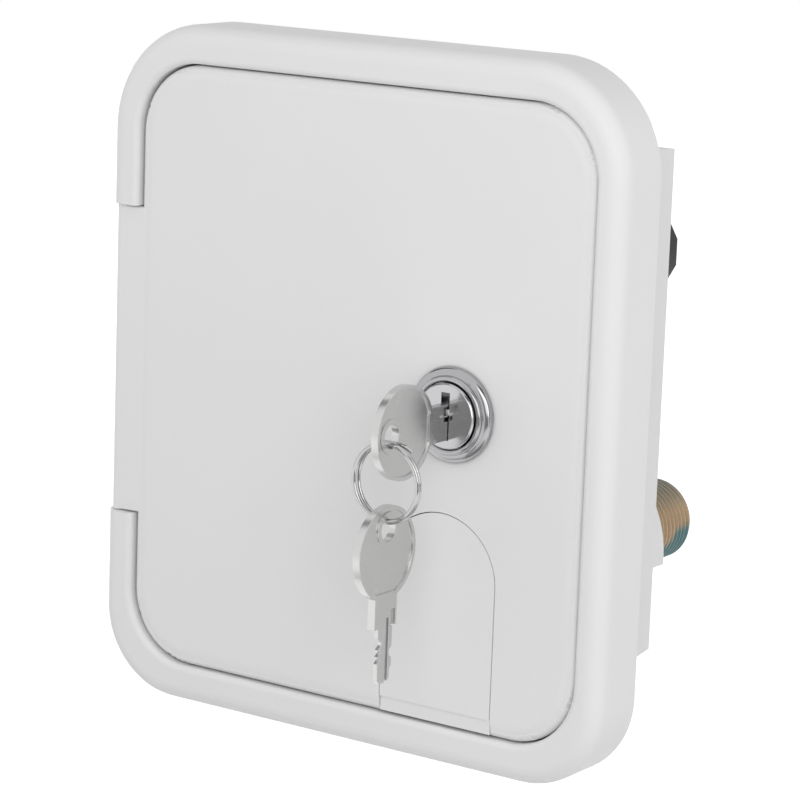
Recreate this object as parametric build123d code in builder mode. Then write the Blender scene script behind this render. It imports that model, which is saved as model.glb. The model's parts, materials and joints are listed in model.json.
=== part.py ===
"""Lockable flush water inlet for a caravan or camper wall, in millimetres.

Frame: the origin lies on the outside of the vehicle's wall (Y = 0), behind the centre of the
door opening. X points right, Z up, and Y into the vehicle, so the front of the hatch faces -Y.
"""
import os
from math import cos, radians, sin, sqrt, tan

from build123d import *

# Door opening, which the rest is laid out from
opening_width = 131.4
opening_height = 150.0

# Surround: a hollow picture-frame moulding that sits on the wall
border_left = 8.6
border_right = 7.05
border_end = 9.4
bezel_depth = 16.5
bezel_corner_top = 26.5
bezel_corner_bottom = 21.5
bezel_edge_r = 4.5
bezel_skin = 2.4
bezel_face_skin = 3.5
opening_corner = 17.5
opening_lip_r = 1.5
opening_wall = 2.0
gasket_thickness = 1.5
flange_thickness = 2.5

# Recess box behind the wall
box_side_step = 9.3
box_end_step = 14.0
box_depth = 34.2
box_wall = 2.0
box_draft = 6.0
box_corner = 3.0
box_back_edge = 0.8

# Fixing screws in the flange's corners, measured in from the opening
screw_inset_x = 13.7
screw_inset_z = 5.0
screw_hole_r = 2.1
screw_head_r = 4.0

# Door
door_gap = 0.4
door_hinge_gap = 0.8
door_setback = 0.8
door_border_drop = 0.5
door_border_width = 4.0
door_thickness = 2.5
door_edge_r = 0.6
door_skirt_inset = 3.0
door_skirt_wall = 1.6
door_skirt_depth = 3.5
door_rib_wall = 1.4
door_rib_columns = (37.1, 65.1)
door_rib_rows = (60.6, 96.6, 119.6)

# Door hinge at the left edge
hinge_length = 77.0
hinge_barrel_r = 2.2
hinge_inset = 1.0
hinge_pin_r = 1.0
hinge_pin_length = 15.0
hinge_pin_in_door = 7.5
hinge_end_gap = 0.3
hinge_pocket_gap = 0.6
running_gap = 0.05

# Hose connection, measured from the opening's right and lower edges
inlet_from_right = 38.4
inlet_from_bottom = 33.1
tail_r = 10.478
tail_end_y = 85.3
tail_pitch_r = 9.897
tail_bore_r = 7.5
cup_outer_r = 17.3
cup_wall = 2.0
cup_floor_y = 43.5
cup_skirt_depth = 10.0
cup_skirt_wall = 1.3
tail_clearance = 0.25
inlet_flange_r = 14.0
inlet_flange_thickness = 4.0
inlet_seal_thickness = 1.2
inlet_hex_flats = 24.0
inlet_hex_length = 9.0
nut_flats = 27.0
nut_thickness = 6.0
nut_washer_thickness = 1.0

# Arched relief in the back of the box, above the hose connection
relief_r = 26.3
relief_rise = 1.9
relief_foot_drop = 0.3
relief_back_y = 43.5

# Hose flap in the door, with its channel through the lower flange
flap_r = 15.9
flap_leg = 35.9
flap_gap = 0.25
flap_bottom_gap = 0.4
flap_pivot_rise = 8.1
flap_pivot_setback = 2.2
flap_pin_r = 1.25
flap_lug_r = 2.6
flap_lug_width = 3.0
flap_lug_span = 19.0
door_lug_span = 36.0
spring_wire_r = 0.3
spring_clearance = 0.2
spring_turns = 6
spring_leg = 11.0
channel_margin = 2.6
channel_flat_depth = 15.0
channel_ramp_depth = 15.0
flap_stop_drop = 20.9
flap_rib_drop = 14.9
flap_rib_length = 34.0
flap_rib_offset = 9.0
flap_stop_height = 8.0
flap_stop_reach = 1.3

# Lock, measured from the opening's right and lower edges
lock_from_right = 36.0
lock_from_bottom = 75.6
lock_barrel_r = 9.0
lock_bore_r = 6.5
lock_plug_head_r = 7.8
lock_plug_head_depth = 5.0
lock_plug_stand = 3.6
rosette_r = 11.4
rosette_height = 2.6
rosette_bead = 1.5
lock_head_gap = 0.15
lock_gasket_thickness = 0.5
lock_nut_flats = 22.0
lock_nut_thickness = 3.5
lock_washer_thickness = 0.8
lock_boss_r = 14.0
lock_boss_height = 1.5
cam_thickness = 2.0
cam_hub_r = 7.0
cam_tip_width = 10.0
cam_square = 5.0
cam_gap = 0.5
cam_reach_gap = 1.5
keeper_height = 16.0
keeper_reach = 4.7
cam_screw_r = 2.0
cam_screw_head_r = 3.6
cam_screw_head = 2.2
cam_screw_length = 8.0

# Keys and ring
key_drop = 1.2
key_thickness = 2.0
key_bow_r = 11.05
key_bow_reach = 16.9
key_shoulder_height = 8.6
key_shoulder_end = 19.6
key_blade_height = 5.6
key_tip = 30.5
key_rim_width = 1.0
key_field_depth = 0.4
key_hole_r = 2.8
key_hole_offset = 5.55
key_hole_land = 1.3
key_neck = 9.2
key_neck_chamfer = 1.3
key_tab_groove = 2.1
key_groove_width = 1.1
key_groove_start = 15.2
key_groove_depth = 0.6
key_slot_gap = 0.15
keyway_height = 11.2
keyway_depth = 3.4
ring_mean_r = 8.95
ring_wire_radial = 1.2
ring_wire_axial = 0.9
ring_turn_pitch = 0.98
ring_rest_gap = 0.25

# Quick-connect hose plug and the check valve in the inlet body
socket_r = 8.3
plug_neck_r = 6.9
plug_land_r = 8.6
plug_nose_r = 7.6
plug_flow_r = 4.5
plug_length = 26.0
plug_hex_flats = 20.0
plug_hex_length = 5.0
valve_depth = 4.0
valve_length = 15.0
valve_seat_r = 4.3
poppet_r = 5.3
poppet_stem_r = 1.25
cage_wall = 1.3
valve_wire_r = 0.3
strainer_hole_r = 1.5

# Spare port in the upper corner of the box, closed with a plug
port_from_right = 22.9
port_from_top = 39.5
port_hole_r = 8.2
port_plug_r = 8.0
port_flange_r = 11.0
port_flange_thickness = 2.0
port_nut_flats = 23.6
port_nut_sides = 12
port_nut_thickness = 6.5
port_seal_thickness = 0.9
port_plug_bore_r = 5.5

# Places that follow from the opening
bezel_width = opening_width + border_left + border_right
bezel_left = -opening_width / 2 - border_left
bezel_centre_x = bezel_left + bezel_width / 2
bezel_height = opening_height + 2 * border_end
box_width = opening_width - 2 * box_side_step
box_height = opening_height - 2 * box_end_step
screw_spacing_x = opening_width - 2 * screw_inset_x
screw_spacing_z = opening_height - 2 * screw_inset_z
inlet_x = opening_width / 2 - inlet_from_right
inlet_z = -opening_height / 2 + inlet_from_bottom
relief_centre_z = inlet_z + relief_rise
relief_foot_z = inlet_z - relief_foot_drop
flap_centre_z = -opening_height / 2 + flap_leg
flap_pivot_z = flap_centre_z + flap_pivot_rise
flap_stop_z = flap_centre_z - flap_stop_drop
lock_x = opening_width / 2 - lock_from_right
lock_z = lock_from_bottom - opening_height / 2
port_x = opening_width / 2 - port_from_right
port_z = opening_height / 2 - port_from_top

# Levels along Y that the pieces share
front_y = -bezel_depth
flange_back_y = -gasket_thickness
flange_front_y = flange_back_y - flange_thickness
door_border_y = front_y + door_setback + door_border_drop
door_face_y = door_border_y - door_border_drop
door_back_y = door_border_y + door_thickness
skirt_back_y = door_back_y + door_skirt_depth
box_back_inner_y = box_depth - box_wall
hinge_x = bezel_left + hinge_inset + hinge_barrel_r
hinge_y = door_border_y + hinge_barrel_r
door_left = -opening_width / 2 + door_hinge_gap
door_right = opening_width / 2 - door_gap
door_half_height = opening_height / 2 - door_gap
mouth_growth = (box_depth - flange_back_y) * tan(radians(box_draft))
mouth_half_width = box_width / 2 + mouth_growth - box_wall
mouth_half_height = box_height / 2 + mouth_growth - box_wall
flap_half_width = flap_r - flap_gap
channel_half_width = flap_r + channel_margin
flap_pivot_y = door_back_y + flap_pivot_setback

os.makedirs("parts", exist_ok=True)


def facing(y):
    """Plane across the hatch at depth y; its sketches extrude towards the front."""
    return Plane.XZ.offset(-y)


def across(z):
    """Level plane at height z, for profiles that are turned about an axis along Y."""
    return Plane.XY.offset(z)


def turning_axis(x, z):
    """Axis along Y through x and z."""
    return Axis((x, 0, z), (0, 1, 0))


def frame_outline(inset):
    """Outline of the surround, with its larger upper corners, moved in by inset."""
    with BuildSketch(mode=Mode.PRIVATE) as outline:
        with Locations((bezel_centre_x, 0)):
            Rectangle(bezel_width - 2 * inset, bezel_height - 2 * inset)
        fillet(outline.vertices().group_by(Axis.Y)[-1], bezel_corner_top - inset)
        fillet(outline.vertices().group_by(Axis.Y)[0], bezel_corner_bottom - inset)
    return outline.sketch


def opening_outline(grow):
    """Outline of the door opening, moved out by grow."""
    with BuildSketch(mode=Mode.PRIVATE) as outline:
        RectangleRounded(opening_width + 2 * grow, opening_height + 2 * grow, opening_corner + grow)
    return outline.sketch


def door_outline(inset):
    """Outline of the door's main panel, moved in by inset."""
    with BuildSketch(mode=Mode.PRIVATE) as outline:
        with Locations(((door_left + door_right) / 2, 0)):
            RectangleRounded(door_right - door_left - 2 * inset, 2 * door_half_height - 2 * inset,
                             opening_corner - door_gap - inset)
    return outline.sketch


def arch_outline(x, z, radius, foot_z):
    """Semicircle of the radius about x and z, on legs that stand on foot_z."""
    with BuildSketch(mode=Mode.PRIVATE) as outline:
        with BuildLine():
            Polyline((x - radius, z), (x - radius, foot_z), (x + radius, foot_z), (x + radius, z))
            ThreePointArc((x + radius, z), (x, z + radius), (x - radius, z))
        make_face()
    return outline.sketch


def channel_outline(wall):
    """Side view of the hose channel below the box; wall is the thickness that it keeps."""
    floor_z = -opening_height / 2 - wall
    roof_z = -box_height / 2 + 8.0
    flat_end = flange_front_y + channel_flat_depth + wall
    ramp_end = flat_end + channel_ramp_depth
    ramp_top = -box_height / 2 + box_wall - wall
    with BuildSketch(mode=Mode.PRIVATE) as outline:
        with BuildLine():
            Polyline((flange_front_y, roof_z), (flange_front_y, floor_z), (flat_end, floor_z),
                     (ramp_end, ramp_top), (ramp_end, roof_z), close=True)
        make_face()
    return outline.sketch


# Housing: surround, flange, recess box, hose channel and connection cup in one moulding
with BuildPart() as housing:
    with BuildSketch(facing(0)):
        add(frame_outline(0))
    extrude(amount=bezel_depth)
    fillet(housing.faces().sort_by(Axis.Y)[0].edges(), bezel_edge_r)
    with BuildSketch(facing(0)):
        add(opening_outline(0))
    extrude(amount=bezel_depth, mode=Mode.SUBTRACT)
    lip_edges = housing.faces().sort_by(Axis.Y)[0].inner_wires()[0].edges()
    fillet(lip_edges, opening_lip_r)
    # The surround is hollow from behind, except where the hinge pins sit
    with BuildSketch(facing(0)):
        add(frame_outline(bezel_skin))
        add(opening_outline(opening_wall), mode=Mode.SUBTRACT)
        with Locations((bezel_left, 0)):
            Rectangle(bezel_width / 4, hinge_length + 4 * hinge_pin_in_door, mode=Mode.SUBTRACT)
    extrude(amount=bezel_depth - bezel_face_skin, mode=Mode.SUBTRACT)
    with BuildSketch(facing(0)):
        add(frame_outline(bezel_skin))
    extrude(amount=gasket_thickness, mode=Mode.SUBTRACT)
    # Flange behind the door
    with BuildSketch(facing(flange_back_y)):
        add(opening_outline(opening_wall))
    extrude(amount=flange_thickness)
    # Drafted box and the channel for the hose, first as full shapes
    with BuildSketch(facing(flange_back_y)):
        RectangleRounded(2 * (mouth_half_width + box_wall), 2 * (mouth_half_height + box_wall), box_corner)
    extrude(amount=-(box_depth - flange_back_y), taper=box_draft)
    fillet(housing.faces().sort_by(Axis.Y)[-1].edges(), box_back_edge)
    with BuildSketch(Plane.YZ.offset(inlet_x)):
        add(channel_outline(box_wall))
    extrude(amount=channel_half_width + box_wall, both=True)
    with BuildSketch(facing(relief_back_y)):
        add(arch_outline(inlet_x, relief_centre_z, relief_r, relief_foot_z))
    extrude(amount=relief_back_y - box_back_inner_y)
    with BuildSketch(facing(cup_floor_y + cup_skirt_depth)):
        with Locations((inlet_x, inlet_z)):
            Circle(cup_outer_r)
    extrude(amount=cup_floor_y + cup_skirt_depth - box_back_inner_y)
    # Their hollows
    with BuildSketch(facing(flange_front_y)):
        inner_growth = (flange_back_y - flange_front_y) * tan(radians(box_draft))
        RectangleRounded(2 * (mouth_half_width + inner_growth), 2 * (mouth_half_height + inner_growth),
                         box_corner - box_wall + 0.5)
    extrude(amount=-(box_back_inner_y - flange_front_y), taper=box_draft, mode=Mode.SUBTRACT)
    with BuildSketch(Plane.YZ.offset(inlet_x)):
        add(channel_outline(0))
    extrude(amount=channel_half_width, both=True, mode=Mode.SUBTRACT)
    with BuildSketch(facing(relief_back_y - box_wall)):
        add(arch_outline(inlet_x, relief_centre_z, relief_r - box_wall, relief_foot_z + box_wall))
    extrude(amount=relief_back_y - box_wall - box_back_inner_y + 1.0, mode=Mode.SUBTRACT)
    with BuildSketch(facing(cup_floor_y - cup_wall)):
        with Locations((inlet_x, inlet_z)):
            Circle(cup_outer_r - cup_wall)
    extrude(amount=cup_floor_y - cup_wall - box_back_inner_y + 1.0, mode=Mode.SUBTRACT)
    with BuildSketch(facing(cup_floor_y + cup_skirt_depth)):
        with Locations((inlet_x, inlet_z)):
            Circle(cup_outer_r - cup_skirt_wall)
    extrude(amount=cup_skirt_depth, mode=Mode.SUBTRACT)
    with BuildSketch(facing(cup_floor_y)):
        with Locations((inlet_x, inlet_z)):
            Circle(tail_pitch_r + tail_clearance)
    extrude(amount=cup_wall, mode=Mode.SUBTRACT)
    with BuildSketch(facing(box_depth)):
        with Locations((port_x, port_z)):
            Circle(port_hole_r)
    extrude(amount=box_wall, mode=Mode.SUBTRACT)
    # Countersunk fixing holes
    with BuildSketch(facing(flange_back_y)):
        with GridLocations(screw_spacing_x, screw_spacing_z, 2, 2):
            Circle(screw_hole_r)
    extrude(amount=flange_thickness, mode=Mode.SUBTRACT)
    screw_rims = (housing.edges().filter_by(GeomType.CIRCLE)
                  .filter_by(lambda e: abs(e.radius - screw_hole_r) < 0.01)
                  .filter_by(lambda e: abs(e.arc_center.Y - flange_front_y) < 0.01))
    chamfer(screw_rims, length=flange_thickness * 0.6, length2=screw_head_r - screw_hole_r)
    # Gap in the left side of the surround for the door's hinge
    with BuildSketch(facing(hinge_y + hinge_barrel_r + hinge_pocket_gap)):
        with Locations((bezel_left, 0)):
            Rectangle(2 * border_left + 2.0, hinge_length + 2 * hinge_end_gap)
    extrude(amount=bezel_depth, mode=Mode.SUBTRACT)
    with Locations(*[Plane((hinge_x, hinge_y, s * (hinge_length / 2 + hinge_end_gap)),
                           x_dir=(1, 0, 0), z_dir=(0, 0, s)) for s in (1, -1)]):
        Cylinder(hinge_pin_r, hinge_pin_length - hinge_pin_in_door,
                 align=(Align.CENTER, Align.CENTER, Align.MIN), mode=Mode.SUBTRACT)

housing.part.label = "housing"
export_step(housing.part, "parts/housing.step")

# Keeper for the cam: a tab of the same moulding, at the right edge of the mouth
with BuildPart() as keeper:
    with BuildSketch(facing(flange_front_y)):
        RectangleRounded(2 * (mouth_half_width + inner_growth), 2 * (mouth_half_height + inner_growth),
                         box_corner - box_wall + 0.5)
    extrude(amount=-flange_thickness, taper=box_draft)
    with BuildSketch(facing(flange_back_y)):
        with Locations((mouth_half_width - keeper_reach / 2 + 0.5, lock_z)):
            Rectangle(keeper_reach + 1.0, keeper_height)
    extrude(amount=flange_thickness, mode=Mode.INTERSECT)
keeper.part.label = "keeper"
export_step(keeper.part, "parts/keeper.step")

# Foam gasket between the surround and the vehicle's wall
with BuildPart() as wall_gasket:
    with BuildSketch(facing(0)):
        add(frame_outline(bezel_skin + 0.3))
        RectangleRounded(2 * (mouth_half_width + box_wall + 1.0), 2 * (mouth_half_height + box_wall + 1.0),
                         box_corner + 1.0, mode=Mode.SUBTRACT)
        with Locations((inlet_x, -mouth_half_height)):
            Rectangle(2 * (channel_half_width + box_wall + 1.0),
                      opening_height - 2 * mouth_half_height + 2 * (box_wall + 1.0), mode=Mode.SUBTRACT)
        with GridLocations(screw_spacing_x, screw_spacing_z, 2, 2):
            Circle(screw_hole_r + 0.4, mode=Mode.SUBTRACT)
    extrude(amount=gasket_thickness)
wall_gasket.part.label = "wall_gasket"
export_step(wall_gasket.part, "parts/wall_gasket.step")

# Door: panel with a raised field, skirt, ribs, hinge barrel and lugs
lug_back_y = flap_pivot_y + flap_lug_r
with BuildPart() as door:
    with BuildSketch(facing(door_back_y)):
        add(door_outline(0))
        with Locations(((hinge_x + door_left) / 2 + 5.0, 0)):
            Rectangle(door_left - hinge_x + 10.0, hinge_length)
    extrude(amount=door_thickness)
    door_rim = door.faces().sort_by(Axis.Y)[0].edges()
    fillet(door_rim.filter_by(lambda e: e.center().X > hinge_x + 0.1), door_edge_r)
    with BuildSketch(facing(door_border_y)):
        add(door_outline(1.0))
    extrude(amount=door_border_drop)
    chamfer(door.faces().sort_by(Axis.Y)[0].edges(),
            length=door_border_drop * 0.98, length2=door_border_width - 1.0)
    with BuildSketch(Plane.XY.offset(-hinge_length / 2)):
        with Locations((hinge_x, hinge_y)):
            Circle(hinge_barrel_r)
    extrude(amount=hinge_length)
    # Skirt and ribs on the back
    with BuildSketch(facing(skirt_back_y)):
        add(door_outline(door_skirt_inset))
        add(door_outline(door_skirt_inset + door_skirt_wall), mode=Mode.SUBTRACT)
    extrude(amount=door_skirt_depth)
    with BuildSketch(facing(skirt_back_y - 1.0)):
        with Locations(*[((door_left + door_right) / 2, row - door_half_height) for row in door_rib_rows]):
            Rectangle(door_right - door_left - 2 * door_skirt_inset, door_rib_wall)
        with Locations(*[(door_left + column, 0) for column in door_rib_columns]):
            Rectangle(door_rib_wall, 2 * (door_half_height - door_skirt_inset))
    extrude(amount=door_skirt_depth - 1.0)
    with BuildSketch(facing(door_back_y + lock_boss_height)):
        with Locations((lock_x, lock_z)):
            Circle(lock_boss_r)
    extrude(amount=lock_boss_height)
    # Room for the nut and cam behind the boss
    with BuildSketch(facing(skirt_back_y)):
        with Locations((lock_x, lock_z)):
            Circle(lock_boss_r)
    extrude(amount=skirt_back_y - door_back_y - lock_boss_height, mode=Mode.SUBTRACT)
    with BuildSketch(facing(skirt_back_y)):
        with Locations((lock_x, lock_z)):
            Circle(lock_barrel_r + 0.15)
    extrude(amount=skirt_back_y - front_y, mode=Mode.SUBTRACT)
    # Arched opening for the flap
    with BuildSketch(facing(skirt_back_y)):
        add(arch_outline(inlet_x, flap_centre_z, flap_r, -door_half_height - 1.0))
    extrude(amount=skirt_back_y - front_y, mode=Mode.SUBTRACT)
    # Lugs that carry the flap's pin, drilled for it
    with BuildSketch(facing(lug_back_y)):
        with Locations(*[(inlet_x + s * (door_lug_span - flap_lug_width) / 2, flap_pivot_z) for s in (1, -1)]):
            Rectangle(flap_lug_width, 2 * flap_lug_r)
    extrude(amount=lug_back_y - door_back_y)
    with Locations(Plane((inlet_x, flap_pivot_y, flap_pivot_z), z_dir=(1, 0, 0))):
        Cylinder(flap_pin_r, door_lug_span + 1.0, mode=Mode.SUBTRACT)
    with Locations((hinge_x, hinge_y, 0)):
        for s in (1, -1):
            with Locations((0, 0, s * (hinge_length / 2 - (hinge_pin_in_door + 0.5) / 2))):
                Cylinder(hinge_pin_r + running_gap, hinge_pin_in_door + 0.5, mode=Mode.SUBTRACT)
door.part.label = "door"
export_step(door.part, "parts/door.step")

# Hinge pins, pressed into the surround and turning in the door
for name, s in (("hinge_pin_upper", 1), ("hinge_pin_lower", -1)):
    seat = hinge_length / 2 + hinge_end_gap + hinge_pin_length - hinge_pin_in_door
    with BuildPart() as hinge_pin:
        with Locations((hinge_x, hinge_y, s * (seat - (hinge_pin_length + hinge_end_gap) / 2))):
            Cylinder(hinge_pin_r, hinge_pin_length + hinge_end_gap)
        chamfer(hinge_pin.edges(), 0.2)
    hinge_pin.part.label = name
    export_step(hinge_pin.part, f"parts/{name}.step")

# Soft seal on the flange, which the door's skirt closes on
seal_front_y = skirt_back_y + 0.3
with BuildPart() as door_seal:
    with BuildSketch(facing(flange_front_y)):
        add(door_outline(door_skirt_inset - 0.8))
        add(door_outline(door_skirt_inset + door_skirt_wall + 0.8), mode=Mode.SUBTRACT)
        with Locations((inlet_x, -door_half_height)):
            Rectangle(2 * (channel_half_width + 0.5), 4 * (door_skirt_inset + door_skirt_wall),
                      mode=Mode.SUBTRACT)
    extrude(amount=flange_front_y - seal_front_y)
door_seal.part.label = "door_seal"
export_step(door_seal.part, "parts/door_seal.step")

# Hose flap, flush with the door, on two lugs
with BuildPart() as hose_flap:
    with BuildSketch(facing(door_back_y)):
        add(arch_outline(inlet_x, flap_centre_z, flap_half_width, -door_half_height + flap_bottom_gap))
    extrude(amount=door_back_y - door_face_y)
    with BuildSketch(facing(door_face_y + door_border_drop)):
        with Locations((inlet_x, -door_half_height)):
            Rectangle(3 * flap_r, 2 * door_border_width)
    extrude(amount=door_border_drop, mode=Mode.SUBTRACT)
    lug_offset = (flap_lug_span - flap_lug_width) / 2
    for side in (1, -1):
        with BuildSketch(Plane.YZ.offset(inlet_x + side * lug_offset)):
            with Locations((flap_pivot_y, flap_pivot_z)):
                Circle(flap_lug_r)
            with Locations((flap_pivot_y - (flap_pivot_setback + 0.2) / 2, flap_pivot_z)):
                Rectangle(flap_pivot_setback + 0.2, 2 * flap_lug_r)
        extrude(amount=flap_lug_width / 2, both=True)
    # Stop bar across the back, whose ends meet the door's back when the flap is shut
    with BuildSketch(facing(door_back_y + 1.4)):
        with Locations((inlet_x, flap_stop_z)):
            Rectangle(2 * (flap_r + flap_stop_reach), flap_stop_height)
    extrude(amount=1.4 - 0.1)
    with BuildSketch(facing(door_back_y + 0.1)):
        with Locations((inlet_x, flap_stop_z)):
            Rectangle(2 * flap_half_width, flap_stop_height)
    extrude(amount=0.1)
    # Stiffening ribs down the back
    with BuildSketch(facing(door_back_y + 2.0)):
        with Locations(*[(inlet_x + s * flap_rib_offset, flap_centre_z - flap_rib_drop) for s in (1, -1)]):
            Rectangle(door_rib_wall, flap_rib_length)
    extrude(amount=2.0)
    with Locations(Plane((inlet_x, flap_pivot_y, flap_pivot_z), z_dir=(1, 0, 0))):
        Cylinder(flap_pin_r + running_gap, flap_lug_span + 1.0, mode=Mode.SUBTRACT)
hose_flap.part.label = "hose_flap"
export_step(hose_flap.part, "parts/hose_flap.step")

with BuildPart() as flap_pin:
    with Locations(Plane((inlet_x, flap_pivot_y, flap_pivot_z), z_dir=(1, 0, 0))):
        Cylinder(flap_pin_r, door_lug_span)
    chamfer(flap_pin.edges(), 0.3)
flap_pin.part.label = "flap_pin"
export_step(flap_pin.part, "parts/flap_pin.step")

# Torsion spring round the flap's pin: one leg bears on the door, the other ends at the flap's lug
spring_r = flap_pin_r + spring_clearance + spring_wire_r
spring_pitch = 2 * spring_wire_r + 0.15
spring_length = spring_turns * spring_pitch
spring_start = inlet_x - spring_length / 2
lug_face_x = inlet_x + flap_lug_span / 2 - flap_lug_width
with BuildPart() as flap_spring:
    with BuildLine() as coil:
        Helix(spring_pitch, spring_length, spring_r, direction=(1, 0, 0),
              center=(spring_start, flap_pivot_y, flap_pivot_z))
    with BuildSketch(Plane(coil.line @ 0, z_dir=coil.line % 0)):
        RegularPolygon(spring_wire_r, 6)
    sweep(path=coil.line, is_frenet=True)
    # One leg runs on from the coil, up the back of the door; the other ends at the flap's lug
    extrude(flap_spring.faces().sort_by(Axis.X)[0], amount=spring_leg)
    with BuildSketch(Plane(coil.line @ 1 - Vector(spring_wire_r, 0, 0), z_dir=(1, 0, 0))):
        RegularPolygon(spring_wire_r, 6)
    extrude(amount=lug_face_x - 0.1 - (spring_start + spring_length - spring_wire_r))
flap_spring.part = flap_spring.part.rotate(Axis((0, flap_pivot_y, flap_pivot_z), (1, 0, 0)), 90)
flap_spring.part.label = "flap_spring"
export_step(flap_spring.part, "parts/flap_spring.step")

# Lock: fixed barrel with a domed rosette
gasket_front_y = door_face_y - lock_gasket_thickness
rosette_front_y = gasket_front_y - rosette_height
plug_front_y = door_face_y - lock_plug_stand
cam_front_y = flange_back_y + cam_gap
barrel_back_y = cam_front_y - 0.4
with BuildPart() as lock_barrel:
    with BuildSketch(across(lock_z)):
        with BuildLine():
            bead_r = rosette_bead / 2
            bead_x = lock_x + lock_plug_head_r + lock_head_gap + bead_r
            bead_y = rosette_front_y + bead_r
            Polyline((lock_x + lock_bore_r, barrel_back_y), (lock_x + lock_barrel_r, barrel_back_y),
                     (lock_x + lock_barrel_r, gasket_front_y), (lock_x + rosette_r, gasket_front_y),
                     (lock_x + rosette_r, gasket_front_y - 0.4))
            Spline((lock_x + rosette_r, gasket_front_y - 0.4), (bead_x + bead_r, bead_y + 0.1),
                   tangents=[(-0.2, -1), (-1, -0.1)])
            Line((bead_x + bead_r, bead_y + 0.1), (bead_x + bead_r, bead_y))
            ThreePointArc((bead_x + bead_r, bead_y), (bead_x, bead_y - bead_r), (bead_x - bead_r, bead_y))
            Polyline((bead_x - bead_r, bead_y),
                     (bead_x - bead_r, plug_front_y + lock_plug_head_depth + 0.2),
                     (lock_x + lock_bore_r, plug_front_y + lock_plug_head_depth + 0.2),
                     (lock_x + lock_bore_r, barrel_back_y))
        make_face()
    revolve(axis=turning_axis(lock_x, lock_z))
lock_barrel.part.label = "lock_barrel"
export_step(lock_barrel.part, "parts/lock_barrel.step")

with BuildPart() as lock_gasket:
    with BuildSketch(facing(door_face_y)):
        with Locations((lock_x, lock_z)):
            Circle(rosette_r - 0.3)
            Circle(lock_barrel_r + 0.05, mode=Mode.SUBTRACT)
    extrude(amount=lock_gasket_thickness)
lock_gasket.part.label = "lock_gasket"
export_step(lock_gasket.part, "parts/lock_gasket.step")

washer_front_y = door_back_y + lock_boss_height
with BuildPart() as lock_washer:
    with BuildSketch(facing(washer_front_y + lock_washer_thickness)):
        with Locations((lock_x, lock_z)):
            Circle(lock_nut_flats / 2 + 1.5)
            Circle(lock_barrel_r + 0.1, mode=Mode.SUBTRACT)
    extrude(amount=lock_washer_thickness)
lock_washer.part.label = "lock_washer"
export_step(lock_washer.part, "parts/lock_washer.step")

with BuildPart() as lock_nut:
    with BuildSketch(facing(washer_front_y + lock_washer_thickness + lock_nut_thickness)):
        with Locations((lock_x, lock_z)):
            RegularPolygon(lock_nut_flats / 2, 6, major_radius=False)
            Circle(lock_barrel_r + 0.02, mode=Mode.SUBTRACT)
    extrude(amount=lock_nut_thickness)
lock_nut.part.label = "lock_nut"
export_step(lock_nut.part, "parts/lock_nut.step")

# Lock plug, with a keyway whose wide mouth takes the key's shoulder
key_z = lock_z - key_drop
key_bow_y = plug_front_y - key_bow_reach
shoulder_end_y = key_bow_y + key_shoulder_end
key_tip_y = key_bow_y + key_tip
plug_shoulder_y = cam_front_y
with BuildPart() as lock_plug:
    with BuildSketch(across(lock_z)):
        with BuildLine():
            Polyline((lock_x, plug_front_y), (lock_x + lock_plug_head_r - 0.4, plug_front_y),
                     (lock_x + lock_plug_head_r, plug_front_y + 0.4),
                     (lock_x + lock_plug_head_r, plug_front_y + lock_plug_head_depth),
                     (lock_x + lock_bore_r - running_gap, plug_front_y + lock_plug_head_depth),
                     (lock_x + lock_bore_r - running_gap, plug_shoulder_y), (lock_x, plug_shoulder_y), close=True)
        make_face()
    revolve(axis=turning_axis(lock_x, lock_z))
    with BuildSketch(facing(plug_shoulder_y + cam_thickness - 0.2)):
        with Locations((lock_x, lock_z)):
            Rectangle(cam_square, cam_square)
    extrude(amount=cam_thickness)
    with BuildSketch(facing(plug_front_y + keyway_depth)):
        with Locations((lock_x, lock_z)):
            Rectangle(key_thickness + 2 * key_slot_gap, keyway_height)
    extrude(amount=keyway_depth, mode=Mode.SUBTRACT)
    with BuildSketch(facing(key_tip_y + 0.5)):
        with Locations((lock_x, key_z)):
            Rectangle(key_thickness + 2 * key_slot_gap, key_blade_height + 2 * key_slot_gap)
    extrude(amount=key_tip_y + 0.5 - plug_front_y, mode=Mode.SUBTRACT)
    with Locations(Plane((lock_x, plug_shoulder_y + cam_thickness, lock_z), z_dir=(0, -1, 0))):
        Cylinder(cam_screw_r, cam_thickness + 1.8, align=(Align.CENTER, Align.CENTER, Align.MIN),
                 mode=Mode.SUBTRACT)
lock_plug.part.label = "lock_plug"
export_step(lock_plug.part, "parts/lock_plug.step")

# Cam: upright at rest, and a quarter turn takes it behind the keeper
box_wall_at_cam = mouth_half_width - (cam_front_y + cam_thickness - flange_back_y) * tan(radians(box_draft))
cam_reach = box_wall_at_cam - cam_reach_gap - lock_x
with BuildPart() as cam:
    with BuildSketch(facing(cam_front_y + cam_thickness)):
        with BuildLine():
            tip_r = cam_tip_width / 2
            JernArc((lock_x - tip_r, lock_z + cam_reach - 2.0), (0, 1), 2.0, -90)
            Line((lock_x - tip_r + 2.0, lock_z + cam_reach), (lock_x + tip_r - 2.0, lock_z + cam_reach))
            JernArc((lock_x + tip_r - 2.0, lock_z + cam_reach), (1, 0), 2.0, -90)
            Line((lock_x + tip_r, lock_z + cam_reach - 2.0), (lock_x + cam_hub_r, lock_z))
            ThreePointArc((lock_x + cam_hub_r, lock_z), (lock_x, lock_z - cam_hub_r), (lock_x - cam_hub_r, lock_z))
            Line((lock_x - cam_hub_r, lock_z), (lock_x - tip_r, lock_z + cam_reach - 2.0))
        make_face()
        with Locations((lock_x, lock_z)):
            Rectangle(cam_square + 0.04, cam_square + 0.04, mode=Mode.SUBTRACT)
    extrude(amount=cam_thickness)
cam.part.label = "cam"
export_step(cam.part, "parts/cam.step")

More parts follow.
